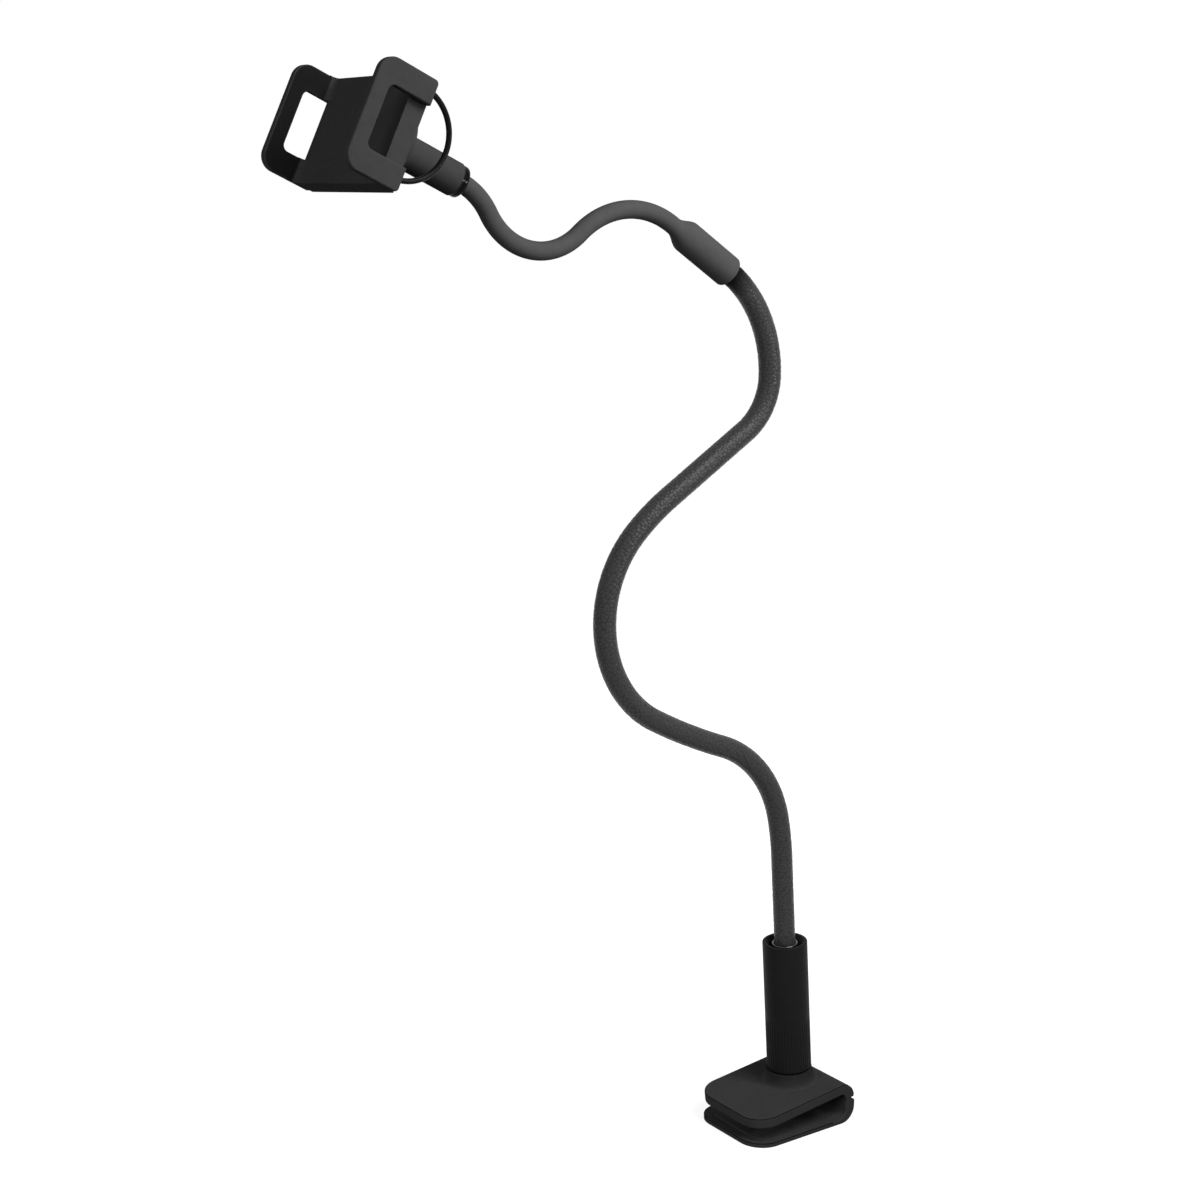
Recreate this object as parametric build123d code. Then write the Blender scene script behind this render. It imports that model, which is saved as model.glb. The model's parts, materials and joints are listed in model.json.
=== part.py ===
from build123d import *

import os
from math import atan2, cos, degrees, radians, sin, sqrt, tan

# Gooseneck phone holder: a desk clamp with a mast, a bendable arm in two stages and a sprung phone cradle.
# Millimetres and degrees. The holder is built about the plane Y = 0, +Z is up, and the clamp's mouth and the
# cradle face -X. The origin lies on the lower jaw's underside, under the mast.

# Clearances
RUN_FIT = 0.05            # radial, shaft turning or sliding in its own hole
PRESS_GAP = 0.03          # radial, pieces pushed together for good
LOOSE = 0.3               # between curved faces that pass each other
SEAT_GAP = 0.2            # along an axis, between the end faces of pieces that turn on each other

# Clamp jaws
JAW_WIDTH = 56.0
JAW_FRONT = 46.0          # from the mast's axis to the mouth's edge
JAW_REAR = 23.6           # from the mast's axis to the back of the heels
JAW_CORNER = 14.0         # of the front corners, seen from above
LOWER_JAW_THICK = 2.4
LOWER_JAW_EDGE = 0.6
UPPER_JAW_THICK = 5.2
UPPER_JAW_EDGE = 1.0
UPPER_JAW_TOP = 21.0      # height of the upper jaw's top face where the mast stands on it
JAW_TILT = 6.4            # the upper jaw's nose hangs down by this much
HEEL_LENGTH = 6.0
HEEL_DROP = 9.2           # depth of the upper heel below the jaw's top face
UPPER_ROLL = 8.4          # rounding over the upper heel's back
LOWER_ROLL = 9.0          # rounding under the lower heel's back
UPPER_COVE = 3.4          # hollow in front of the upper heel
LOWER_COVE = 5.0          # hollow in front of the lower heel
HEEL_SEAM = 0.3           # gap between the heels at their front ends
OPEN_ANGLE = 20.0         # how far the mouth swings open
ROCKER_RADIUS = 1.8       # the bead that the upper heel rocks on
ROCKER_LENGTH = 44.0
PAD_THICK = 0.8
PAD_MARGIN = 6.0
PAD_REACH = 14.0          # the pads stop this far ahead of the mast's axis

# Mast: draw stud, turning grip and what the arm's foot sits in
MAST_LEAN = 3.8           # the mast leans towards the mouth by this much
BOSS_HEIGHT = 7.0
BOSS_FLARE = 3.4          # how far the boss spreads at its foot
BOSS_MARGIN = 0.5         # boss top beyond the grip's radius
WASHER_THICK = 1.0
GRIP_RADIUS = 12.4
GRIP_LENGTH = 74.5
GRIP_RIM_EDGE = 0.5
GRIP_RIM_FLAT = 1.2       # flat ring on the grip's rim, between its rounding and its inner bevel
RIB_COUNT = 44
RIB_DEPTH = 0.45
RIB_LENGTH = 32.0
STUD_RADIUS = 3.0
STUD_LENGTH = 46.0        # above the cross bar's axis
BAR_RADIUS = 3.0          # cross bar at the stud's foot
BAR_LENGTH = 14.0
BAR_HEIGHT = 3.4          # the bar's axis above the underside
SADDLE_WALL = 2.0         # metal over and around the bar's trough
NUT_RADIUS = 7.0
NUT_LENGTH = 14.0
BUSHING_RADIUS = 9.0
BUSHING_LENGTH = 20.0
BUSHING_DROP = 2.2        # the bushing's top below the grip's rim
BUSHING_EDGE = 0.6
FOOT_RING_WIRE = 0.7
FOOT_FLANGE = 1.8         # ferrule's flange beyond the arm's radius
FOOT_FLANGE_THICK = 2.0
FOOT_DEPTH = 10.0         # the arm's sleeve ends this far below the grip's rim

# Arm
LOWER_ARM_RADIUS = 5.9
LOWER_CORE_RADIUS = 4.0
UPPER_ARM_RADIUS = 4.5
UPPER_CORE_RADIUS = 3.0
# Each bend is a straight run, then an arc's radius and turn; a positive turn leans towards -X.
LOWER_BENDS = [(49, 165, 8), (0, 64, 57), (0, 350, -8), (0, 62, -106.5), (0, 120, -12.5), (58, 33.5, 57.5),
               (0, 63, 57)]
COUPLING_LENGTH = 32.0
COUPLING_SHOULDER = 10.0  # length over which it narrows to the upper arm
COUPLING_TAIL = 1.0       # straight arm beyond the coupling
UPPER_BENDS = [(COUPLING_LENGTH + COUPLING_SHOULDER + COUPLING_TAIL, 46, 74), (0, 33.5, -102),
               (0, 32.5, 36.5)]
COUPLING_RADIUS = 8.1
COUPLING_MOUTH = 0.7      # shadow gap round the lower arm
COUPLING_LIP = 6.0        # depth of that gap
COUPLING_EDGE = 1.2
CONNECTOR_RADIUS = 6.4
CONNECTOR_LENGTH = 25.0
CORE_SEAT = 11.5          # how far each core goes into the connector

# Ball joint at the arm's end
BALL_RADIUS = 4.75
BALL_DEPTH = 8.5          # ball centre inside the lock ring's end face
BALL_NECK_RADIUS = 2.3
BALL_SPIGOT_RADIUS = 1.5
BALL_SPIGOT_LENGTH = 8.0
BALL_TILT = 12.0
ARM_END_DEPTH = 1.0       # the upper sleeve's end inside the lock ring
NECK_FLANGE_RADIUS = 4.0
NECK_FLANGE_THICK = 1.0
SEAT_WALL = 1.2
LOCK_RING_LENGTH = 3.8
LOCK_RING_INSET = 0.4     # the ring's radius below the stem's
LOCK_RING_EDGE = 0.9
LOCK_THROAT_BEVEL = 0.5   # how much the bell mouth narrows over the arm's own swing
LOCK_LIP = 2.4            # the lock ring's lip ahead of the ball's centre
STEM_RADIUS = 8.0
STEM_LENGTH = 45.4        # from the cradle's back to the lock ring
STEM_WALL = 1.4
STEM_FLARE = 6.5          # radius of the hollow between the stem and its bell
BELL_EDGE = 1.5
BELL_DEPTH = 13.0         # from the cradle's back
BELL_WALL = 3.0
STEM_RISE = 2.0           # the stem stands this far above the cradle's middle

# Phone cradle, in its own axes: x out of the back plate's front face, z up along the jaws
CRADLE_WIDTH = 74.0       # between the jaws
CRADLE_HEIGHT = 51.4
PLATE_THICK = 7.2
PLATE_WALL = 2.0
PLATE_END_WALL = 3.0      # the end walls that the guide rods pass through
COVER_THICK = 2.0
JAW_REACH = 19.6          # jaws ahead of the back plate
JAW_WALL = 4.0
JAW_FRONT_ROUND = 7.5
JAW_BACK_ROUND = 2.0
JAW_BAR = 11.2            # bars above and below each jaw's window
JAW_LIP_BAR = 7.6         # bar in front of the window
WINDOW_ROUND = 3.0
JAW_BEND = 3.5            # hollow where the fixed jaw meets the back plate
CRADLE_EDGE = 0.8
JAW_TRAVEL = 26.0
ROD_RADIUS = 1.5
ROD_HEAD_RADIUS = 2.5
ROD_HEAD_LENGTH = 2.0
ROD_SEAT = 3.0            # depth in the jaw
SPRING_RADIUS = 2.4
SPRING_WALL = 0.5
SPRING_SOLID = 30.0       # a return spring's length when it is pressed together
HOOP_RADIUS = 20.5
HOOP_WIRE = 1.3
HOOP_CENTRE = -4.3        # the hoop's centre along x
HOOP_SEAT = 3.0           # how far its ends go into the jaw
SCREW_RADIUS = 1.25
SCREW_HEAD_RADIUS = 2.4
SCREW_LENGTH = 6.0
SCREW_INSET = 6.5         # from the back plate's edges

# Values that follow from those above
COVER_BACK = -PLATE_THICK - COVER_THICK
BELL_RADIUS = STEM_RADIUS + STEM_FLARE + BELL_EDGE
HALF_HEIGHT = CRADLE_HEIGHT / 2
HALF_WIDTH = CRADLE_WIDTH / 2
ROD_LEVEL = HALF_HEIGHT - JAW_BAR / 2
ROD_X = -(PLATE_THICK + PLATE_WALL) / 2
ROD_REACH = PLATE_END_WALL + JAW_TRAVEL + SPRING_SOLID + ROD_HEAD_LENGTH   # behind the sliding jaw's inner face
GRIP_FOOT = BOSS_HEIGHT + WASHER_THICK
GRIP_TOP = GRIP_FOOT + GRIP_LENGTH
BUSHING_TOP = GRIP_TOP - BUSHING_DROP
LEANING = radians(MAST_LEAN)
TILTING = radians(JAW_TILT)
MAST = Location((0, 0, UPPER_JAW_TOP), (0, -MAST_LEAN, 0))
UPPER_JAW = Location((0, 0, UPPER_JAW_TOP), (0, -JAW_TILT, 0))
UPPER_REAR = (JAW_REAR - HEEL_DROP * sin(TILTING)) / cos(TILTING)   # along the jaw, flush with the lower heel
SIDE = Plane.XZ


def turned(points, axis=Axis.Z):
    """A solid of revolution from a half section of (radius, height) points."""
    section = SIDE * make_face(Polyline(*points, close=True))
    return revolve(section, axis)


def rod(radius, bottom, top, hole=0.0):
    """An upright cylinder or tube between two heights."""
    outline = Circle(radius) - Circle(hole) if hole else Circle(radius)
    return Pos(0, 0, bottom) * extrude(outline, top - bottom)


def across(radius, length, x, z):
    """A cylinder along Y, centred on the plane Y = 0."""
    return Pos(x, 0, z) * Rot(90, 0, 0) * Cylinder(radius, length)


def ball(radius, height):
    return Pos(0, 0, height) * Sphere(radius)


def bent_jaw(outline, edge):
    """A side outline drawn across the jaw's width, with round front corners and a rounded rim on top."""
    body = extrude(SIDE * make_face(outline), JAW_WIDTH / 2, both=True)
    body = fillet(body.edges().filter_by(Axis.Z).group_by(Axis.X)[0], JAW_CORNER)
    return fillet(body.edges().filter_by(Axis.Y).group_by(Axis.X)[0].sort_by(Axis.Z)[-1], edge)


def jaw_pad(bottom):
    """A rubber pad that covers a jaw's front part."""
    length = JAW_FRONT - PAD_MARGIN - PAD_REACH
    width = JAW_WIDTH - 2 * PAD_MARGIN
    middle = -(JAW_FRONT - PAD_MARGIN + PAD_REACH) / 2
    outline = RectangleRounded(length, width, min(JAW_CORNER - PAD_MARGIN, length / 3))
    return Pos(middle, 0, bottom) * extrude(outline, PAD_THICK)


def heel_axis():
    """Where the upper jaw rocks on the lower one, as (x, z) in the holder's frame."""
    along, below = UPPER_REAR - HEEL_LENGTH / 2, HEEL_DROP
    x = along * cos(TILTING) + below * sin(TILTING)
    z = UPPER_JAW_TOP + along * sin(TILTING) - below * cos(TILTING)
    return x, z


def boss():
    """Foot of the mast on the upper jaw: a round that spreads in a hollow curve."""
    radius = GRIP_RADIUS + BOSS_MARGIN
    foot = radius + BOSS_FLARE
    hollow = EllipticalCenterArc((foot, BOSS_HEIGHT), BOSS_FLARE, BOSS_HEIGHT, 180, arc_size=90)
    rest = Polyline((foot, 0), (foot, -UPPER_JAW_EDGE), (0, -UPPER_JAW_EDGE), (0, BOSS_HEIGHT + UPPER_JAW_EDGE),
                    (radius, BOSS_HEIGHT + UPPER_JAW_EDGE), (radius, BOSS_HEIGHT))
    return revolve(SIDE * make_face([hollow, rest]), Axis.Z)


def upper_jaw():
    """Plate that rolls over into a heel, with a spreading boss for the mast and a rocker bead."""
    front, rear, heel = -JAW_FRONT, UPPER_REAR, UPPER_REAR - HEEL_LENGTH
    top = Line((front, 0), (rear - UPPER_ROLL, 0))
    roll = JernArc(top @ 1, (1, 0), UPPER_ROLL, -90)
    foot = Polyline(roll @ 1, (rear, -HEEL_DROP), (heel, -HEEL_DROP), (heel, -UPPER_JAW_THICK - UPPER_COVE))
    cove = JernArc(foot @ 1, (0, 1), UPPER_COVE, 90)
    under = Polyline(cove @ 1, (front, -UPPER_JAW_THICK), (front, 0))
    plate = bent_jaw([top, roll, foot, cove, under], UPPER_JAW_EDGE)
    body = UPPER_JAW * (plate + boss())
    body -= MAST * rod(GRIP_RADIUS + 2 * BOSS_FLARE, BOSS_HEIGHT, 2 * BOSS_HEIGHT)
    body += UPPER_JAW * across(ROCKER_RADIUS, ROCKER_LENGTH, rear - HEEL_LENGTH / 2, -HEEL_DROP)
    return body - MAST * rod(STUD_RADIUS + LOOSE, -UPPER_JAW_TOP, BOSS_HEIGHT)


def lower_jaw():
    """Thin plate that rolls up into a heel, a saddle with the cross bar's trough and the rocker's groove."""
    pivot_x, pivot_z = heel_axis()
    front, rear, heel = -JAW_FRONT, JAW_REAR, JAW_REAR - HEEL_LENGTH
    seam = pivot_z - HEEL_LENGTH / 2 * sin(TILTING) - HEEL_SEAM
    back = seam - (rear - pivot_x) * tan(radians(OPEN_ANGLE))
    cove = JernArc((heel - LOWER_COVE, LOWER_JAW_THICK), (1, 0), LOWER_COVE, 90)
    top = Polyline(cove @ 1, (heel, seam), (pivot_x, seam), (rear, back), (rear, LOWER_ROLL))
    roll = JernArc(top @ 1, (0, -1), LOWER_ROLL, -90)
    under = Polyline(roll @ 1, (front, 0), (front, LOWER_JAW_THICK), cove @ 0)
    body = bent_jaw([cove, top, roll, under], LOWER_JAW_EDGE)
    travel = bar_travel()
    slot_length = travel + 2 * (BAR_RADIUS + LOOSE)
    slot_x = bar_position(0) - travel / 2
    crown = BAR_HEIGHT + BAR_RADIUS + LOOSE
    saddle_width = BAR_LENGTH + 2 * (LOOSE + SADDLE_WALL)
    saddle = RectangleRounded(slot_length + 2 * SADDLE_WALL, saddle_width, SADDLE_WALL)
    body += Pos(slot_x, 0, 0) * extrude(saddle, crown + SADDLE_WALL)
    trough = Pos(slot_x, 0, 0) * extrude(Rectangle(slot_length, BAR_LENGTH + 2 * LOOSE), BAR_HEIGHT)
    ends = (slot_x - travel / 2, slot_x + travel / 2)
    for x in ends:
        trough += across(BAR_RADIUS + LOOSE, BAR_LENGTH + 2 * LOOSE, x, BAR_HEIGHT)
    trough += Pos(slot_x, 0, 0) * extrude(Rectangle(travel, BAR_LENGTH + 2 * LOOSE), crown)
    passage = SlotOverall(slot_length + LOOSE, 2 * (STUD_RADIUS + LOOSE))
    body -= trough + Pos(slot_x, 0, 0) * extrude(passage, crown + 2 * SADDLE_WALL)
    return body - across(ROCKER_RADIUS + LOOSE / 2, ROCKER_LENGTH + 2 * LOOSE, pivot_x, pivot_z)


def bar_position(opening):
    """Where along X the stud's cross bar lies in its trough when the mouth is opened by an angle."""
    pivot_x, pivot_z = heel_axis()
    lean = LEANING
    arm = pivot_x * cos(lean) - (UPPER_JAW_TOP - pivot_z) * sin(lean)
    lean -= radians(opening)
    return pivot_x - (arm - sin(lean) * (pivot_z - BAR_HEIGHT)) / cos(lean)


def bar_travel():
    return bar_position(0) - bar_position(OPEN_ANGLE)


def draw_stud():
    """Threaded rod with a cross bar at its foot, in the mast's axes."""
    foot = -(UPPER_JAW_TOP - BAR_HEIGHT) / cos(LEANING)
    shank = rod(STUD_RADIUS, foot, foot + STUD_LENGTH)
    shank = chamfer(shank.edges().sort_by(Axis.Z)[-1], STUD_RADIUS / 4)
    return shank + across(BAR_RADIUS, BAR_LENGTH, 0, foot)


def thrust_washer():
    return rod(GRIP_RADIUS - BOSS_MARGIN, BOSS_HEIGHT, GRIP_FOOT - SEAT_GAP / 2, STUD_RADIUS + LOOSE)


def ribbed_disc():
    """Cross section of the grip's foot: shallow grooves cut into the round."""
    points = []
    for k in range(RIB_COUNT):
        for share, depth in ((0.0, RIB_DEPTH), (0.3, 0.0), (0.7, 0.0)):
            turn = radians(360 * (k + share) / RIB_COUNT)
            radius = GRIP_RADIUS - depth
            points.append((radius * cos(turn), radius * sin(turn)))
    return make_face(Polyline(*points, close=True))


def turning_grip():
    """The column: a long sleeve nut with a ribbed foot, hollow for the stud and the arm's foot."""
    grip = Pos(0, 0, GRIP_FOOT) * extrude(ribbed_disc(), RIB_LENGTH)
    shell = rod(GRIP_RADIUS, GRIP_FOOT + RIB_LENGTH, GRIP_TOP)
    shell = fillet(shell.edges().sort_by(Axis.Z)[-1], GRIP_RIM_EDGE)
    grip += shell
    pocket = BUSHING_TOP - BUSHING_LENGTH - FOOT_FLANGE_THICK - 2 * SEAT_GAP
    grip -= rod(NUT_RADIUS + PRESS_GAP, GRIP_FOOT, GRIP_FOOT + NUT_LENGTH)
    grip -= rod(STUD_RADIUS + LOOSE, GRIP_FOOT + NUT_LENGTH, pocket)
    grip -= rod(BUSHING_RADIUS + PRESS_GAP, pocket, GRIP_TOP)
    lip = GRIP_RADIUS - GRIP_RIM_EDGE - GRIP_RIM_FLAT
    bevel = turned([(0, BUSHING_TOP), (BUSHING_RADIUS, BUSHING_TOP), (lip, GRIP_TOP), (0, GRIP_TOP)])
    return grip - bevel


def grip_nut():
    return rod(NUT_RADIUS, GRIP_FOOT, GRIP_FOOT + NUT_LENGTH, STUD_RADIUS + RUN_FIT)


def foot_bushing():
    """Plain bearing that the arm's foot turns in."""
    bush = rod(BUSHING_RADIUS, BUSHING_TOP - BUSHING_LENGTH, BUSHING_TOP, LOWER_ARM_RADIUS + RUN_FIT)
    rim = bush.faces().sort_by(Axis.Z)[-1].edges().sort_by(SortBy.LENGTH)[-1]
    return fillet(rim, BUSHING_EDGE)


def foot_ring():
    """Bright wire ring round the arm where it leaves the bushing."""
    level = BUSHING_TOP + FOOT_RING_WIRE
    return Pos(0, 0, level) * Torus(LOWER_ARM_RADIUS + FOOT_RING_WIRE + PRESS_GAP, FOOT_RING_WIRE)


def foot_ferrule():
    """Metal end of the arm, with the flange that keeps it in the bushing."""
    bottom = BUSHING_TOP - BUSHING_LENGTH - SEAT_GAP
    barrel = rod(LOWER_ARM_RADIUS, bottom, GRIP_TOP - FOOT_DEPTH, LOWER_CORE_RADIUS + PRESS_GAP)
    return barrel + rod(LOWER_ARM_RADIUS + FOOT_FLANGE, bottom - FOOT_FLANGE_THICK, bottom)


def bent_line(start, heading, bends, last_run=0.0, first_run=None):
    """Runs and tangent arcs in the plane Y = 0. Gives the edges, the end point and the end heading."""
    point, angle, edges = Vector(*start), radians(heading), []
    for number, (run, radius, turn) in enumerate(bends):
        length = first_run if number == 0 and first_run is not None else run
        if length:
            ahead = point + Vector(cos(angle), 0, sin(angle)) * length
            edges.append(Line(point, ahead))
            point = ahead
        side = 1 if turn > 0 else -1
        centre = point + Vector(-sin(angle), 0, cos(angle)) * (side * radius)
        places = []
        for share in (0.5, 1.0):
            now = angle + radians(turn) * share
            places.append(centre - Vector(-sin(now), 0, cos(now)) * (side * radius))
        edges.append(ThreePointArc(point, *places))
        point, angle = places[1], angle + radians(turn)
    if last_run:
        ahead = point + Vector(cos(angle), 0, sin(angle)) * last_run
        edges.append(Line(point, ahead))
        point = ahead
    return edges, point, degrees(angle)


def hose(edges, radius, hole=0.0):
    """A round bar or tube along a bent line."""
    path = Wire(edges)
    start = Plane(origin=path @ 0, z_dir=path % 0)
    solid = sweep(start * Circle(radius), path=path)
    if hole:
        solid -= sweep(start * Circle(hole), path=path)
    return solid


def along(point, heading):
    """Axes whose Z runs along the arm at a point of the plane Y = 0."""
    ahead = Vector(cos(radians(heading)), 0, sin(radians(heading)))
    return Plane(origin=point, x_dir=(0, 1, 0), z_dir=ahead).location


# The arm's stations: the mast's top, the coupling's wide end and the lock ring's end face
MAST_AXIS = Vector(-sin(LEANING), 0, cos(LEANING))
MAST_TOP = MAST.position + MAST_AXIS * GRIP_TOP
MAST_HEADING = 90 + MAST_LEAN
COUPLING_POINT, COUPLING_HEADING = bent_line(MAST_TOP, MAST_HEADING, LOWER_BENDS)[1:]
HEAD_POINT, HEAD_HEADING = bent_line(COUPLING_POINT, COUPLING_HEADING, UPPER_BENDS)[1:]
COUPLING = along(COUPLING_POINT, COUPLING_HEADING)
HEAD = along(HEAD_POINT, HEAD_HEADING)


def lower_arm(radius, below, beyond, hole=0.0):
    """The lower arm from a depth below the mast's top to a length beyond the coupling's wide end."""
    start = MAST_TOP - MAST_AXIS * below
    edges = bent_line(start, MAST_HEADING, LOWER_BENDS, beyond, LOWER_BENDS[0][0] + below)[0]
    return hose(edges, radius, hole)


def upper_arm(radius, start, beyond, hole=0.0):
    """The upper arm from a station along the coupling to a depth inside the lock ring."""
    ahead = Vector(cos(radians(COUPLING_HEADING)), 0, sin(radians(COUPLING_HEADING)))
    edges = bent_line(COUPLING_POINT + ahead * start, COUPLING_HEADING, UPPER_BENDS, beyond,
                      UPPER_BENDS[0][0] - start)[0]
    return hose(edges, radius, hole)


def lower_arm_core():
    bottom = GRIP_TOP - (BUSHING_TOP - BUSHING_LENGTH - SEAT_GAP)
    return lower_arm(LOWER_CORE_RADIUS, bottom, COUPLING_LIP + CORE_SEAT)


def lower_arm_sleeve():
    return lower_arm(LOWER_ARM_RADIUS, FOOT_DEPTH, COUPLING_LIP, LOWER_CORE_RADIUS + PRESS_GAP)


def coupling_connector():
    """Barrel that joins the two cores inside the coupling."""
    end = COUPLING_LIP + CONNECTOR_LENGTH
    barrel = rod(CONNECTOR_RADIUS, COUPLING_LIP, end)
    barrel -= rod(LOWER_CORE_RADIUS + PRESS_GAP, COUPLING_LIP, COUPLING_LIP + CORE_SEAT)
    barrel -= rod(UPPER_CORE_RADIUS + PRESS_GAP, end - CORE_SEAT, end)
    return COUPLING * barrel


def upper_arm_core():
    core = upper_arm(UPPER_CORE_RADIUS, COUPLING_LIP + CONNECTOR_LENGTH - CORE_SEAT, ARM_END_DEPTH)
    bottom = ARM_END_DEPTH - BALL_SPIGOT_LENGTH
    return core - HEAD * rod(BALL_SPIGOT_RADIUS + PRESS_GAP, bottom, ARM_END_DEPTH)


def upper_arm_sleeve():
    """One soft moulding: the upper arm's skin and the coupling that it swells into."""
    end = COUPLING_LENGTH + COUPLING_SHOULDER
    shoulder = Spline((COUPLING_RADIUS, COUPLING_LENGTH), (UPPER_ARM_RADIUS, end), tangents=((0, 1), (0, 1)))
    outline = Polyline((UPPER_ARM_RADIUS, end), (0, end), (0, 0), (COUPLING_RADIUS, 0),
                       (COUPLING_RADIUS, COUPLING_LENGTH))
    skin = revolve(SIDE * make_face([shoulder, outline]), Axis.Z)
    skin = fillet(skin.edges().group_by(Axis.Z)[0], COUPLING_EDGE)
    inside = COUPLING_LIP + CONNECTOR_LENGTH + SEAT_GAP
    skin -= rod(CONNECTOR_RADIUS + PRESS_GAP, COUPLING_LIP, inside)
    skin -= rod(LOWER_ARM_RADIUS + COUPLING_MOUTH, 0, COUPLING_LIP)
    skin -= rod(UPPER_CORE_RADIUS + PRESS_GAP, inside, end)
    return COUPLING * skin + upper_arm(UPPER_ARM_RADIUS, end, ARM_END_DEPTH, UPPER_CORE_RADIUS + PRESS_GAP)


def ball_stud():
    """Ball, neck and flange on the upper core's end, with a spigot in the core."""
    flange = ARM_END_DEPTH + NECK_FLANGE_THICK
    stud = rod(BALL_SPIGOT_RADIUS, ARM_END_DEPTH - BALL_SPIGOT_LENGTH + SEAT_GAP, flange)
    stud += rod(NECK_FLANGE_RADIUS, ARM_END_DEPTH, flange)
    stud += rod(BALL_NECK_RADIUS, flange, BALL_DEPTH)
    return HEAD * (stud + ball(BALL_RADIUS, BALL_DEPTH))


def ball_seat():
    """Cup behind the ball, which gives the joint its friction."""
    outer = BALL_RADIUS + SEAT_WALL
    cup = rod(outer, BALL_DEPTH, BALL_DEPTH + outer)
    return HEAD * (cup - ball(BALL_RADIUS + RUN_FIT, BALL_DEPTH))


def lock_ring():
    """Glossy ring screwed into the stem, with a bell mouth for the arm and a lip that keeps the ball in."""
    mouth = ARM_END_DEPTH + UPPER_ARM_RADIUS * sin(radians(BALL_TILT)) + LOOSE
    throat = UPPER_ARM_RADIUS / cos(radians(BALL_TILT)) + BALL_DEPTH * tan(radians(BALL_TILT)) + LOOSE / 2
    lip = sqrt(BALL_RADIUS ** 2 - LOCK_LIP ** 2)
    thread = STEM_RADIUS - STEM_WALL - PRESS_GAP
    ring = rod(STEM_RADIUS - LOCK_RING_INSET, 0, LOCK_RING_LENGTH)
    ring = fillet(ring.edges().sort_by(Axis.Z)[0], LOCK_RING_EDGE)
    ring += rod(thread, LOCK_RING_LENGTH, BALL_DEPTH - SEAT_GAP)
    ring -= turned([(0, 0), (throat, 0), (throat - LOCK_THROAT_BEVEL, mouth),
                    (lip, BALL_DEPTH - LOCK_LIP), (0, BALL_DEPTH)])
    return HEAD * (ring - ball(BALL_RADIUS + RUN_FIT, BALL_DEPTH))


# The cradle's axes: x along the stem away from the arm, y towards -Y, z up along the jaws
FRONT_AXIS = Vector(cos(radians(HEAD_HEADING)), 0, sin(radians(HEAD_HEADING)))
UP_AXIS = Vector(sin(radians(HEAD_HEADING)), 0, -cos(radians(HEAD_HEADING)))
STEM_TOTAL = STEM_LENGTH + LOCK_RING_LENGTH
CRADLE_ORIGIN = HEAD_POINT + FRONT_AXIS * (STEM_TOTAL - COVER_BACK) - UP_AXIS * STEM_RISE
CRADLE = Plane(origin=CRADLE_ORIGIN, x_dir=FRONT_AXIS, z_dir=UP_AXIS).location


def box(x0, x1, y0, y1, z0, z1):
    return Pos((x0 + x1) / 2, (y0 + y1) / 2, (z0 + z1) / 2) * Box(x1 - x0, y1 - y0, z1 - z0)


def phone_jaw(inner):
    """A jaw plate with a window that is open at the back; inner is the y of the face that meets the phone."""
    height, reach = 2 * HALF_HEIGHT, JAW_REACH - COVER_BACK
    plate = Pos(COVER_BACK + reach / 2, 0) * Rectangle(reach, height)
    corners = plate.vertices().group_by(Axis.X)
    plate = fillet(corners[-1], JAW_FRONT_ROUND)
    plate = fillet(plate.vertices().group_by(Axis.X)[0], JAW_BACK_ROUND)
    long, tall = reach - JAW_LIP_BAR, height - 2 * JAW_BAR
    window = Pos(COVER_BACK + long / 2, 0) * Rectangle(long, tall)
    window = fillet(window.vertices().group_by(Axis.X)[-1], WINDOW_ROUND)
    side = 1 if inner > 0 else -1
    solid = Plane.XZ.offset(-inner) * plate - Plane.XZ.offset(-inner) * window
    solid = extrude(solid, -side * JAW_WALL)
    faces = solid.faces().filter_by(Axis.Y)
    return fillet(faces.edges(), CRADLE_EDGE)


def cradle_body():
    """Back plate, open behind, with the fixed jaw in one moulding and holes for the guide rods."""
    plate = box(-PLATE_THICK, 0, -HALF_WIDTH, HALF_WIDTH, -HALF_HEIGHT, HALF_HEIGHT)
    inside = HALF_WIDTH - PLATE_END_WALL
    room = HALF_HEIGHT - PLATE_WALL
    plate -= box(-PLATE_THICK, -PLATE_WALL, -inside, inside, -room, room)
    for y in (-1, 1):
        for z in (-1, 1):
            post = Pos(-PLATE_WALL, y * screw_y(), z * screw_z()) * Rot(0, -90, 0)
            plate += post * extrude(Circle(2 * SCREW_RADIUS), PLATE_THICK - PLATE_WALL)
            plate -= post * extrude(Circle(SCREW_RADIUS + PRESS_GAP), PLATE_THICK - PLATE_WALL)
    for level in (-ROD_LEVEL, ROD_LEVEL):
        hole = Pos(ROD_X, inside, level) * Rot(-90, 0, 0)
        plate -= hole * extrude(Circle(ROD_RADIUS + RUN_FIT), HALF_WIDTH - inside)
    jaw = phone_jaw(-HALF_WIDTH)
    bend = box(0, JAW_BEND, -HALF_WIDTH, -HALF_WIDTH + JAW_BEND, -HALF_HEIGHT, HALF_HEIGHT)
    bend -= Pos(JAW_BEND, -HALF_WIDTH + JAW_BEND, 0) * Cylinder(JAW_BEND, CRADLE_HEIGHT)
    window = HALF_HEIGHT - JAW_BAR
    bend -= box(0, JAW_BEND, -HALF_WIDTH, HALF_WIDTH, -window, window)
    return plate + jaw + bend


def screw_y():
    return HALF_WIDTH - 2 * SCREW_INSET


def screw_z():
    return ROD_LEVEL - ROD_HEAD_RADIUS - 2 * SCREW_RADIUS - LOOSE


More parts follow.
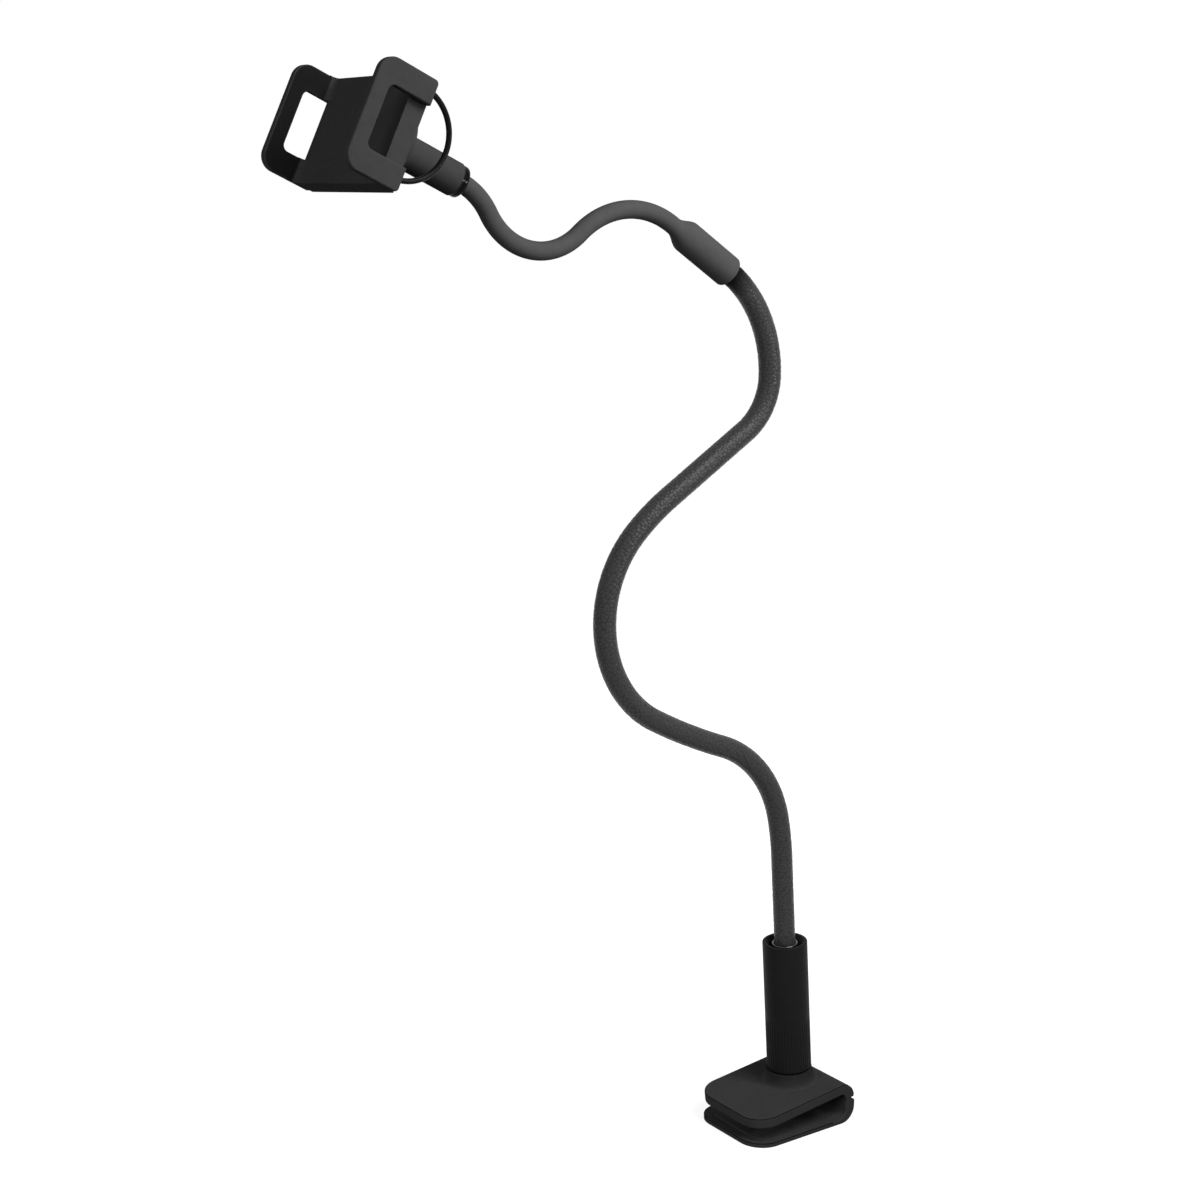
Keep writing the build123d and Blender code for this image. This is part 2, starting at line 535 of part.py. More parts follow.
def rear_cover():
    """Thin cover over the back plate with a hollow bell that narrows into the stem, in one moulding."""
    cover = box(COVER_BACK, -PLATE_THICK, -HALF_WIDTH, HALF_WIDTH, -HALF_HEIGHT, HALF_HEIGHT)
    rim = JernArc((BELL_RADIUS, BELL_DEPTH - BELL_EDGE), (0, 1), BELL_EDGE, 90)
    hollow = JernArc(rim @ 1, (-1, 0), STEM_FLARE, -90)
    rest = Polyline(hollow @ 1, (STEM_RADIUS, STEM_LENGTH), (0, STEM_LENGTH), (0, 0), (BELL_RADIUS, 0), rim @ 0)
    stem = revolve(SIDE * make_face([rim, hollow, rest]), Axis.Z)
    bore = STEM_RADIUS - STEM_WALL
    depth = BALL_DEPTH - LOCK_RING_LENGTH + BALL_RADIUS + SEAT_WALL + SEAT_GAP
    stem -= rod(bore, STEM_LENGTH - (BALL_DEPTH - LOCK_RING_LENGTH), STEM_LENGTH)
    stem -= rod(BALL_RADIUS + SEAT_WALL + RUN_FIT, STEM_LENGTH - depth, STEM_LENGTH)
    cover += Pos(COVER_BACK, 0, STEM_RISE) * Rot(0, -90, 0) * stem
    room = rod(BELL_RADIUS - BELL_WALL, -COVER_THICK, BELL_DEPTH - BELL_WALL)
    cover -= Pos(COVER_BACK, 0, STEM_RISE) * Rot(0, -90, 0) * room
    return cover - screws(PRESS_GAP)


def screws(gap=0.0):
    """Countersunk screws that hold the rear cover, a gap larger when they are cut out of it."""
    group = Part()
    slope = SCREW_HEAD_RADIUS - SCREW_RADIUS
    for y in (-1, 1):
        for z in (-1, 1):
            screw = turned([(0, 0), (SCREW_HEAD_RADIUS + gap, 0), (SCREW_RADIUS + gap, slope),
                            (SCREW_RADIUS + gap, SCREW_LENGTH), (0, SCREW_LENGTH)])
            group += Pos(COVER_BACK, y * screw_y(), z * screw_z()) * Rot(0, 90, 0) * screw
    return group


def hoop(gap=0.0):
    """Wire loop behind the sliding jaw, a gap thicker when it is cut out of the jaw."""
    seat = COVER_BACK + HOOP_SEAT - HOOP_CENTRE
    half = degrees(atan2(sqrt(HOOP_RADIUS ** 2 - seat ** 2), -seat))
    arc = CenterArc((0, 0), HOOP_RADIUS, 180 - half, 2 * half)
    path = Pos(HOOP_CENTRE, HALF_WIDTH + JAW_WALL / 2, 0) * (SIDE * Wire(arc))
    start = Plane(origin=path @ 0, z_dir=path % 0)
    return sweep(start * Circle(HOOP_WIRE + gap), path=path)


def guide_rod(level, gap=0.0):
    """Headed rod that the sliding jaw runs on."""
    inner = HALF_WIDTH - ROD_REACH
    place = Pos(ROD_X, inner, level) * Rot(-90, 0, 0)
    length = ROD_REACH + ROD_SEAT
    return place * (rod(ROD_RADIUS + gap, 0, length) + rod(ROD_HEAD_RADIUS, 0, ROD_HEAD_LENGTH))


def return_spring(level):
    """Coil spring between a guide rod's head and the back plate's end wall, as its outer tube."""
    inner = HALF_WIDTH - ROD_REACH + ROD_HEAD_LENGTH
    end = HALF_WIDTH - PLATE_END_WALL
    tube = rod(SPRING_RADIUS, 0, end - inner, SPRING_RADIUS - SPRING_WALL)
    return Pos(ROD_X, inner, level) * Rot(-90, 0, 0) * tube


def sliding_jaw():
    jaw = phone_jaw(HALF_WIDTH) - hoop(PRESS_GAP)
    for level in (-ROD_LEVEL, ROD_LEVEL):
        jaw -= guide_rod(level, PRESS_GAP)
    return jaw


def pieces():
    """Every piece by its node name, in the holder's frame."""
    mast = {
        "thrust_washer": thrust_washer(),
        "draw_stud": draw_stud(),
        "turning_grip": turning_grip(),
        "grip_nut": grip_nut(),
        "foot_bushing": foot_bushing(),
        "foot_ring": foot_ring(),
        "foot_ferrule": foot_ferrule(),
    }
    cradle = {
        "cradle_body": cradle_body(),
        "rear_cover": rear_cover(),
        "cover_screws": screws(),
        "sliding_jaw": sliding_jaw(),
        "hoop": hoop(),
        "upper_guide_rod": guide_rod(ROD_LEVEL),
        "lower_guide_rod": guide_rod(-ROD_LEVEL),
        "upper_return_spring": return_spring(ROD_LEVEL),
        "lower_return_spring": return_spring(-ROD_LEVEL),
    }
    found = {
        "lower_jaw": lower_jaw(),
        "lower_jaw_pad": jaw_pad(LOWER_JAW_THICK),
        "upper_jaw": upper_jaw(),
        "upper_jaw_pad": UPPER_JAW * jaw_pad(-UPPER_JAW_THICK - PAD_THICK),
        "lower_arm_core": lower_arm_core(),
        "lower_arm_sleeve": lower_arm_sleeve(),
        "coupling_connector": coupling_connector(),
        "upper_arm_core": upper_arm_core(),
        "upper_arm_sleeve": upper_arm_sleeve(),
        "ball_stud": ball_stud(),
        "ball_seat": ball_seat(),
        "lock_ring": lock_ring(),
    }
    found.update({name: MAST * piece for name, piece in mast.items()})
    found.update({name: CRADLE * piece for name, piece in cradle.items()})
    return found


os.makedirs("parts", exist_ok=True)
for name, piece in pieces().items():
    export_step(piece, f"parts/{name}.step")
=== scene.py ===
import json
from math import atan2, ceil, cos, pi, radians, sin, tau

import bpy
import numpy as np
from mathutils import Matrix, Vector


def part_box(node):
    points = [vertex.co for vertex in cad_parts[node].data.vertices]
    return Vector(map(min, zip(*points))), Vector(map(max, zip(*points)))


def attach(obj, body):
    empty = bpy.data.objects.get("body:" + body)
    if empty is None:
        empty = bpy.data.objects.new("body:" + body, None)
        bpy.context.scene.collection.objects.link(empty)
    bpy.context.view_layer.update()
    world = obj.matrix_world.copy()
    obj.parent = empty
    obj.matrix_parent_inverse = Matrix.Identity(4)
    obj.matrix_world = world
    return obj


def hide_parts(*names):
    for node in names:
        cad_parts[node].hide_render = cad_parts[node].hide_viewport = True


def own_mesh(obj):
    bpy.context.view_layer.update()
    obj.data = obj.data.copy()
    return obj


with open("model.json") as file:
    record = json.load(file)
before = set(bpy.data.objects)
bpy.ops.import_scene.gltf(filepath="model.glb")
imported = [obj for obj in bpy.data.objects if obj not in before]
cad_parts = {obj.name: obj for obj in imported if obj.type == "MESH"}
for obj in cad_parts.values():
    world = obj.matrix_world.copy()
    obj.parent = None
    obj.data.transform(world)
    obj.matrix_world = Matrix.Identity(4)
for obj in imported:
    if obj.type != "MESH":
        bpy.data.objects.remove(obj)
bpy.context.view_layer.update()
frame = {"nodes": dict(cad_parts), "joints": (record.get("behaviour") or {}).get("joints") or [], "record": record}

# The holder's own axes, taken from its joints. Lengths are in metres and angles in radians.
JOINTS = {joint["name"]: joint for joint in frame["joints"]}
MAST_FOOT = Vector(JOINTS["arm_swivel"]["pos_m"])
MAST_AXIS = Vector(JOINTS["arm_swivel"]["axis"])
BALL_CENTRE = Vector(JOINTS["head_spin"]["pos_m"])
STEM_AXIS = Vector(JOINTS["head_spin"]["axis"])
ACROSS = Vector((0, 1, 0))
MM = 0.001


def half_width(node):
    """Half of a node's extent across the holder, which is the radius of a round piece."""
    low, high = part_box(node)
    return (high.y - low.y) / 2


def axes_at(origin, axis):
    """A placement whose Z runs along an axis and whose Y is the holder's Y."""
    place = Matrix((ACROSS.cross(axis), ACROSS, axis)).transposed().to_4x4()
    place.translation = origin
    return place


# Jaws of the clamp, and the fine crease in their rounded rims
JAW_HALF = half_width("upper_jaw")
JAW_FRONT = 46.0 * MM
JAW_CORNER = 14.0 * MM
UPPER_JAW_TILT = radians(6.4)
UPPER_JAW_EDGE = 1.0 * MM
UPPER_JAW_REAR = 22.7 * MM
UPPER_JAW_ROLL = 8.4 * MM
LOWER_JAW_TOP = 2.4 * MM
LOWER_JAW_EDGE = 0.6 * MM
LOWER_JAW_END = 8.0 * MM         # the lower crease stops here, ahead of the heel
CREASE_WIRE = 0.24 * MM

# Mast, measured along its axis from the upper jaw's top face
GRIP_RADIUS = half_width("turning_grip")
GRIP_FOOT = 8.0 * MM
GRIP_TOP = 82.5 * MM
GRIP_BORE = 3.3 * MM
GRIP_RIBS = 44
GRIP_RIB_DEPTH = 0.28 * MM
GRIP_RIB_TOP = 40.0 * MM
GRIP_RIB_FADE = 6.0 * MM         # length over which a groove runs out
GRIP_RIB_MARGIN = 1.0 * MM       # the fine rows go on this far above the ribs
GRIP_RIM_EDGE = 0.5 * MM
GRIP_RIM_FLAT = 1.2 * MM
BUSHING_RADIUS = half_width("foot_bushing")
BUSHING_TOP = 80.3 * MM
BUSHING_LENGTH = 20.0 * MM
BUSHING_EDGE = 0.6 * MM
FOOT_RING_WIRE = 0.7 * MM
STUD_RADIUS = 3.0 * MM
STUD_FOOT = -17.64 * MM          # the cross bar's axis
STUD_LENGTH = 46.0 * MM
STUD_PITCH = 1.0 * MM
THREAD_DEPTH = 0.5 * MM
THREAD_FLANK = 0.42              # width of a flank as a share of the pitch
BAR_LENGTH = 14.0 * MM

# Arm: each bend is a straight run, a radius and a turn, in millimetres and degrees. A positive turn is to -X.
LOWER_BENDS = [(49, 165, 8), (0, 64, 57), (0, 350, -8), (0, 62, -106.5), (0, 120, -12.5), (58, 33.5, 57.5),
               (0, 63, 57)]
UPPER_BENDS = [(43, 46, 74), (0, 33.5, -102), (0, 32.5, 36.5)]
LOWER_ARM_RADIUS = half_width("lower_arm_sleeve")
UPPER_ARM_RADIUS = 4.5 * MM
SLEEVE_DEPTH = 10.0 * MM         # how far the lower sleeve goes below the grip's rim
COUPLING_RADIUS = half_width("upper_arm_sleeve")
COUPLING_LENGTH = 32.0 * MM
COUPLING_SHOULDER = 10.0 * MM
COUPLING_LIP = 6.0 * MM          # depth of the shadow gap at the coupling's wide end
COUPLING_MOUTH = 0.7 * MM        # width of that gap
COUPLING_FLOOR = 0.3             # the gap's floor reaches in to this share of its radius
COUPLING_EDGE = 1.2 * MM
ARM_END_DEPTH = 1.0 * MM

# Leather grain of the lower arm
PEBBLE_ALONG = 1.8 * MM
PEBBLE_AROUND = 2.4 * MM
PEBBLE_DEPTH = 0.26 * MM
PEBBLE_VALLEY = 0.42 * MM        # width of the hollow between two pebbles
PEBBLE_SEED = 7
PEBBLE_NUDGE = 0.36              # how far a pebble strays from its place, as a share of the spacing
PEBBLE_SPREAD = 0.09             # how far its size strays, as a share of the spacing
PEBBLE_SQUEEZE = 0.78            # a distance round the arm counts for this much
PEBBLE_DOME = 0.75               # a pebble's radius, as a share of the spacing
PEBBLE_RIM = 0.45                # height of a pebble's rim
PEBBLE_CROWN = 0.55              # rise from its rim to its middle
COUPLING_SHADE_LENGTH = 14.0 * MM          # painted shade darkens the skin this far ahead of the coupling
COUPLING_SHADE_POWER = 0.8

# Head: depths along the stem from the lock ring's end face, and places in the cradle's own axes
BALL_DEPTH = 8.5 * MM
LOCK_RING_LENGTH = 3.8 * MM
LOCK_RING_RADIUS = half_width("lock_ring")
LOCK_RING_EDGE = 0.9 * MM
LOCK_RING_THROAT = 6.56 * MM
LOCK_GROOVE = 0.6 * MM
LOCK_GROOVE_DEPTH = 0.3 * MM
LOCK_WAIST = LOCK_GROOVE / 3     # how much the bore narrows half-way through
CRADLE_DEPTH = 58.4 * MM         # from the lock ring's end face to the front of the back plate
STEM_RISE = 2.0 * MM
COVER_BACK = -9.2 * MM
HOOP_RADIUS = 20.5 * MM
HOOP_WIRE = half_width("hoop")
HOOP_CENTRE = -4.3 * MM
HOOP_HALF = radians(84.7)        # half of the hoop's arc
SPRING_TURNS = 24
SPRING_WIRE = 0.4 * MM
SCREW_Y = 24.0 * MM
SCREW_Z = 14.8 * MM
SCREW_HEAD = 2.4 * MM
SCREW_SLOPE = 1.15 * MM
SCREW_CROSS = (1.5 * MM, 0.36 * MM)   # half length and half width of the recess
SCREW_CROSS_DEPTH = 0.7 * MM
SCREW_CROSS_TAPER = 0.8          # size of the recess at its bottom over its size at the face

# How finely the meshes are cut: sides round a piece, and rings, rows or steps along it
SLEEVE_SIDES = 80
SLEEVE_RINGS = 1180
HOSE_SIDES = 96
HOSE_RINGS = 240
COUPLING_RINGS = 20
CREASE_CORNER_STEPS = 24
CREASE_SIDE_STEPS = 12
CREASE_ROLL_STEPS = 16
GRIP_SIDES = 12 * GRIP_RIBS
GRIP_ROWS = 60
RING_SIDES = 128
LOCK_RING_SIDES = 144
STUD_SIDES = 36
THREAD_ROWS = 12                 # for each turn of the thread
BAR_SIDES = 48
WIRE_SIDES = 24
THIN_WIRE_SIDES = 10
HOOP_STEPS = 140
COIL_STEPS = 24                  # for each turn of a spring
SCREW_SIDES = 96
EDGE_STEPS = 7
CRISP = 34                       # edges that turn by more degrees than this stay crisp
CRISP_SKIN = 50
CRISP_GRAIN = 60

# Camera of the photograph, whose frame is square
CAMERA_PLACE = Vector((-0.7085, -0.8199, 0.5153))
CAMERA_AZIMUTH = radians(-35.2)
CAMERA_PITCH = radians(11.58)
CAMERA_LENS = 61.8               # millimetres, and so is the sensor's width
CAMERA_SENSOR = 36.0
CAMERA_CLIP = (0.01, 50.0)

# Lamps, with their azimuth and height in degrees as seen from the target, and their power in watts
BEHIND = dict(height=3, distance=1.1, target=(-0.1, 0, 0.15), size=0.5, power=5.4)
LAMPS = {
    "key": dict(azimuth=15, height=42, distance=0.8, target=(-0.1, 0, 0.4), size=0.45, power=7,
                highlights=True),
    "foot": dict(azimuth=-72, height=12, distance=0.35, target=(-0.04, 0, 0.015), size=0.1, power=0.36),
    "strip": dict(azimuth=25, height=6, distance=0.8, target=(-0.1, 0, 0.35), size=0.12, power=2,
                  highlights=True),
    "fill": dict(azimuth=-82, height=15, distance=1.0, target=(-0.05, 0, 0.3), size=0.6, power=2.2),
    "behind left": dict(azimuth=180, **BEHIND),
    "behind right": dict(azimuth=110, **BEHIND),
}
AMBIENT = 0.02

# Floor
FLOOR_REACH = 4.0
FLOOR_FADE = (0.04, 0.2)         # distances from the holder's foot between which it turns white
FLOOR_NEAR = 0.84                # its own glow at the foot
FLOOR_SEEN = 0.3                 # share of the lamps' light that it gives back where it is seen
FLOOR_UNSEEN = 0.04              # and on to other pieces

MAST = axes_at(MAST_FOOT, MAST_AXIS)
HEAD = axes_at(BALL_CENTRE - STEM_AXIS * BALL_DEPTH, STEM_AXIS)
UP_AXIS = STEM_AXIS.cross(ACROSS) * -1
CRADLE = Matrix((STEM_AXIS, -ACROSS, UP_AXIS)).transposed().to_4x4()
CRADLE.translation = HEAD.translation + STEM_AXIS * CRADLE_DEPTH - UP_AXIS * STEM_RISE


class Wire:
    """A shader socket. Sums and products of wires and numbers add Math nodes to the tree."""

    def __init__(self, tree, socket=None):
        self.tree = tree
        self.socket = socket

    def node(self, kind, settings=None, inputs=None, out=0):
        """Any other node: its settings first, then the values or wires of its sockets."""
        made = self.tree.nodes.new(kind)
        for name, value in (settings or {}).items():
            setattr(made, name, value)
        for name, value in (inputs or {}).items():
            if isinstance(value, Wire):
                self.tree.links.new(value.socket, made.inputs[name])
            else:
                made.inputs[name].default_value = value
        return Wire(self.tree, made.outputs[out] if len(made.outputs) else None)

    def maths(self, operation, *others):
        return self.node("ShaderNodeMath", {"operation": operation}, dict(enumerate((self, *others))))

    def __add__(self, other):
        return self.maths("ADD", other)

    def __sub__(self, other):
        return self.maths("SUBTRACT", other)

    def __rsub__(self, other):
        return (self * -1) + other

    def __mul__(self, other):
        return self.maths("MULTIPLY", other)

    __radd__ = __add__
    __rmul__ = __mul__

    def larger(self, other):
        return self.maths("MAXIMUM", other)

    def vector(self, operation, *others, out=0):
        """A Vector Math node on this wire and others."""
        inputs = dict(enumerate((self, *others)))
        return self.node("ShaderNodeVectorMath", {"operation": operation}, inputs, out)

    def ramp(self, low, high):
        """0 below low, 1 above high and a smooth step between them."""
        return self.node("ShaderNodeMapRange", {"interpolation_type": "SMOOTHSTEP"},
                         {"Value": self, "From Min": low, "From Max": high})

    def tint(self, dark, light):
        """A colour between two others, mixed by this value."""
        return self.node("ShaderNodeMix", {"data_type": "RGBA"},
                         {"Factor": self, 6: (*dark, 1), 7: (*light, 1)}, out=2)

    def bump(self, strength, distance):
        """A normal that follows this value as a height."""
        return self.node("ShaderNodeBump", None, {"Strength": strength, "Distance": distance, "Height": self})


def new_material(name):
    material = bpy.data.materials.new(name)
    material.use_nodes = True
    material.node_tree.nodes.clear()
    return material, Wire(material.node_tree)


def grey(level, *alpha):
    """A grey colour, with an alpha where a socket takes one."""
    return (level, level, level, *alpha)


def shade(colour, factor):
    return tuple(min(1.0, c * factor) for c in colour)


def surface(wire, fixed, tone, rough, bump, painted_shade_mask=None):
    """Ends a material in a Principled shader, which turns black where its mask of painted shade is 1."""
    varying = {"Base Color": tone, "Roughness": rough, "Normal": bump}
    shader = wire.node("ShaderNodeBsdfPrincipled", None, {**fixed, **varying})
    if painted_shade_mask:
        # painted shade: a black surface mixed in by the mask
        black = wire.node("ShaderNodeBsdfDiffuse", None, {"Color": grey(0.003, 1)})
        shader = wire.node("ShaderNodeMixShader", None, {0: painted_shade_mask, 1: shader, 2: black})
    wire.node("ShaderNodeOutputMaterial", None, {"Surface": shader})


def own_place(wire):
    """Places in the piece's own axes."""
    return wire.node("ShaderNodeTexCoord", out="Object")


def speckle(wire, scale, detail=3.0, roughness=0.55):
    """Noise in the piece's own axes; scale is in cycles per metre."""
    return wire.node("ShaderNodeTexNoise", {"noise_dimensions": "3D"},
                     {"Vector": own_place(wire), "Scale": scale, "Detail": detail, "Roughness": roughness})


JAW_SHADE_FACING = (0.85, 0.98)     # how squarely a face looks inwards, from none of the painted shade to all of it
JAW_SHADE_STEP = 0.4 * MM
MAST_SHADE_START = 0.5 * MM          # distances from the grip's side between which the painted shade round the mast fades
MAST_SHADE_END = 4.0 * MM


def painted_jaw_shade(wire):
    """1 on the inner faces of the cradle's jaws, ahead of the back plate, where shade is painted into the colour.
    """
    place = own_place(wire)
    normal = wire.node("ShaderNodeTexCoord", out="Normal")
    depth = place.vector("DOT_PRODUCT", STEM_AXIS, out="Value") - CRADLE.translation.dot(STEM_AXIS)
    side = wire.node("ShaderNodeSeparateXYZ", None, {0: place}, out="Y").maths("SIGN")
    inward = side * wire.node("ShaderNodeSeparateXYZ", None, {0: normal}, out="Y") * -1
    return inward.ramp(*JAW_SHADE_FACING) * depth.ramp(-JAW_SHADE_STEP, JAW_SHADE_STEP)


def painted_mast_shade(wire):
    """Painted shade: 1 next to the mast and 0 on the plate round it."""
    lever = own_place(wire).vector("SUBTRACT", MAST_FOOT).vector("CROSS_PRODUCT", MAST_AXIS)
    away = lever.vector("LENGTH", out="Value")
    return 1 - away.ramp(GRIP_RADIUS + MAST_SHADE_START, GRIP_RADIUS + MAST_SHADE_END)


# Moulded plastic: scales of its marks in cycles per metre, and how much they change its tone and roughness
CLOUD_SCALE = 45
RUB_SCALE = 260
RUB_STEP = (0.35, 0.75)
TONE_SPREAD = 0.12
CLOUD_ROUGH = 0.14
RUB_ROUGH = 0.06


def moulded(name, colour, roughness, grain=2600, depth=0.04 * MM, specular=0.0, painted_darkening=None, share=0.0):
    """Satin moulded plastic with a fine spark-eroded grain, faint flow clouds and handling marks.

    An optional mask function paints shade, and share is how much of the colour is missing where the mask is 1.
    """
    material, wire = new_material(name)
    fine = speckle(wire, grain)
    clouds = speckle(wire, CLOUD_SCALE, 4.0)
    rub = speckle(wire, RUB_SCALE).ramp(*RUB_STEP)
    level = 1 - (clouds * 0.7 + rub * 0.3) * (2 * TONE_SPREAD)
    # painted shade: part of the colour is taken away where the mask is 1
    if painted_darkening:
        level = level * (1 - painted_darkening(wire) * share)
    tone = level.tint(grey(0), shade(colour, 1 + TONE_SPREAD))
    rough = roughness + (clouds - 0.5) * CLOUD_ROUGH + (rub - 0.5) * RUB_ROUGH
    surface(wire, {"Specular IOR Level": specular}, tone, rough, fine.bump(0.5, depth))
    return material


def metal(name, colour, roughness, scale=900):
    """Turned metal with fine marks."""
    material, wire = new_material(name)
    marks = speckle(wire, scale, 4.0)
    clouds = speckle(wire, 120)
    tone = (marks * 0.5 + clouds * 0.5).tint(shade(colour, 0.86), shade(colour, 1.1))
    rough = roughness + (clouds - 0.5) * 0.16
    surface(wire, {"Metallic": 1.0}, tone, rough, marks.bump(0.25, 0.03 * MM))
    return material


def grained_skin(name, colour, roughness):
    """Soft sleeve embossed like leather: the mesh has the pebbles, painted shade darkens their hollows, and a
    second mask of painted shade blackens the skin at the coupling.
    """
    material, wire = new_material(name)
    crown = wire.node("ShaderNodeAttribute", {"attribute_name": "crown"}, out="Fac")
    coupling_shade = wire.node("ShaderNodeAttribute", {"attribute_name": "coupling_shade"}, out="Fac")
    fine = speckle(wire, 3200)
    clouds = speckle(wire, 70)
    lift = crown.ramp(0.05, 0.75)
    # painted shade: the pebbles' hollows are darker and their crowns lighter
    tone = (lift * 0.8 + clouds * 0.2).tint(shade(colour, 0.45), shade(colour, 1.18))
    rough = roughness + (1 - lift) * 0.18 + (clouds - 0.5) * 0.1
    surface(wire, {"Specular IOR Level": 0.12}, tone, rough, fine.bump(0.2, 0.04 * MM), coupling_shade)
    return material


def rubber(name, colour):
    """Matt rubber with a fine mould texture."""
    material, wire = new_material(name)
    fine = speckle(wire, 1500, 4.0, 0.7)
    tone = fine.tint(shade(colour, 0.75), shade(colour, 1.25))
    rough = 0.8 + (fine - 0.5) * 0.1
    surface(wire, {"Specular IOR Level": 0.03}, tone, rough, fine.bump(0.7, 0.1 * MM))
    return material


FINISH = {
    # painted shade darkens the plate round the mast's foot
    "clamp_plastic": moulded("clamp satin black", (0.044, 0.044, 0.045), 0.62, painted_darkening=painted_mast_shade, share=0.4),
    "pad_rubber": rubber("pad rubber", grey(0.036)),
    "grip_plastic": moulded("grip deep black", (0.0135, 0.0135, 0.014), 0.5, 1800, 0.02 * MM, specular=0.03),
    "plain_steel": metal("turned steel", (0.36, 0.36, 0.37), 0.34),
    "bright_ring": metal("polished ring", (0.06, 0.06, 0.062), 0.15, 400),
    "nut_brass": metal("turned brass", (0.62, 0.44, 0.18), 0.3),
    "bearing_plastic": moulded("nylon black", (0.006, 0.006, 0.0065), 0.5),
    "core_metal": metal("soft alloy", (0.5, 0.5, 0.52), 0.45),
    "grained_sleeve": grained_skin("leather-grained sleeve", (0.04, 0.04, 0.041), 0.28),
    "smooth_sleeve": moulded("smooth soft sleeve", (0.08, 0.08, 0.081), 0.55, 3000, 0.015 * MM),
    "gloss_ring": moulded("polished black ring", (0.004, 0.004, 0.0043), 0.14, 900, 0.008 * MM, 0.06),
    # painted shade: the inner faces of the cradle's jaws are darkened in the colour
    "cradle_plastic": moulded("cradle satin black", (0.054, 0.054, 0.055), 0.55, painted_darkening=painted_jaw_shade, share=0.7),
    "hoop_wire": moulded("painted wire", (0.005, 0.005, 0.0053), 0.3, 1400, 0.01 * MM, specular=0.05),
}


def new_object(name, data):
    """An object that is part of the scene."""
    made = bpy.data.objects.new(name, data)
    bpy.context.scene.collection.objects.link(made)
    return made


def dress(piece, slot):
    """Gives a piece or a CAD node one finish."""
    piece.data.materials.clear()
    piece.data.materials.append(FINISH[slot])


def piece_from(name, shells, slot, body, replaced, crisp=CRISP):
    """A mesh of one or more (points, faces) shells that rides on a body and may stand for a CAD node."""
    points, faces = [], []
    for shell_points, shell_faces in shells:
        first = len(points)
        points += [tuple(p) for p in shell_points]
        faces += [tuple(first + k for k in face) for face in shell_faces]
    mesh = bpy.data.meshes.new(name)
    mesh.from_pydata(points, [], faces)
    mesh.validate()
    mesh.shade_smooth()
    mesh.set_sharp_from_angle(angle=radians(crisp))
    made = new_object(name, mesh)
    dress(made, slot)
    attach(made, body)
    if replaced:
        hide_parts(replaced)
    return made


def angles_round(sides):
    return np.arange(sides) * tau / sides


def smooth_step(share):
    return share * share * (3 - 2 * share)


def ring_faces(rings, sides, closed=False):
    """Quads between successive rings of points, with caps on an open tube's ends."""
    faces = []
    for row in range(rings if closed else rings - 1):
        this, after = row * sides, (row + 1) % rings * sides
        for k in range(sides):
            beside = (k + 1) % sides
            faces.append((this + k, this + beside, after + beside, after + k))
    if not closed:
        faces.append(tuple(reversed(range(sides))))
        faces.append(tuple((rings - 1) * sides + k for k in range(sides)))
    return faces


def lathe(profile, sides, place, lost=None, closed=True):
    """A turned shell from (height, radius) points, its outside running upwards.

    lost gives how much of the radius is missing at a height, a radius and a share of the turn.
    """
    points = []
    for height, radius in profile:
        for k in range(sides):
            reach = radius - lost(height, radius, k / sides) if lost else radius
            angle = tau * k / sides
            points.append(place @ Vector((reach * cos(angle), reach * sin(angle), height)))
    return points, ring_faces(len(profile), sides, closed)


def rounded(height, radius, edge, foot=False):
    """Points of a rounded outer corner: up and in at a top edge, or out and up at a foot."""
    points = []
    for turn in np.linspace(0, pi / 2, EDGE_STEPS):
        across = radius - edge * (1 - cos(turn))
        down = edge * (1 - sin(turn))
        points.append((height + down, across) if foot else (height - down, across))
    return points[::-1] if foot else points


def bent_line(start, heading, bends, before=0.0, beyond=0.0):
    """Runs and tangent arcs in the plane Y = 0, as a list of (length, radius, sign) stretches."""
    stretches = [(before, 0, 0)] if before else []
    for run, radius, turn in bends:
        if run:
            stretches.append((run * MM, 0, 0))
        stretches.append((abs(radians(turn)) * radius * MM, radius * MM, 1 if turn > 0 else -1))
    if beyond:
        stretches.append((beyond, 0, 0))
    ahead = Vector((cos(heading), 0, sin(heading)))
    return {"start": start - ahead * before, "heading": heading, "stretches": stretches,
            "length": sum(stretch[0] for stretch in stretches)}


def step_on(here, heading, stretch, distance):
    """Where a run or an arc leads after a distance along it."""
    _, radius, sign = stretch
    if not radius:
        return here + distance * np.array((cos(heading), 0, sin(heading))), heading
    turned = heading + sign * distance / radius
    offset = np.array((sin(turned) - sin(heading), 0, cos(heading) - cos(turned)))
    return here + sign * radius * offset, turned


def walk(line, distances):
    """Points and headings at sorted distances along a bent line."""
    points, headings = [], []
    here, heading, done = np.array(line["start"]), line["heading"], 0.0
    stretches = list(line["stretches"])
    for distance in distances:
        while len(stretches) > 1 and distance > done + stretches[0][0]:
            here, heading = step_on(here, heading, stretches[0], stretches[0][0])
            done += stretches.pop(0)[0]
        place, angle = step_on(here, heading, stretches[0], distance - done)
        points.append(place)
        headings.append(angle)
    return np.array(points), np.array(headings)


def hose(points, headings, radii, sides):
    """Rings of points round a line in the plane Y = 0; radii is one number a ring, or one a point."""
    angles = angles_round(sides)[None, :, None]
    radii = np.broadcast_to(np.reshape(radii, (len(points), -1)), (len(points), sides))
    side = np.stack((np.sin(headings), np.zeros_like(headings), -np.cos(headings)), axis=1)
    spokes = np.cos(angles) * side[:, None, :] + np.sin(angles) * np.array(ACROSS)
    return (points[:, None, :] + radii[..., None] * spokes).reshape(-1, 3)


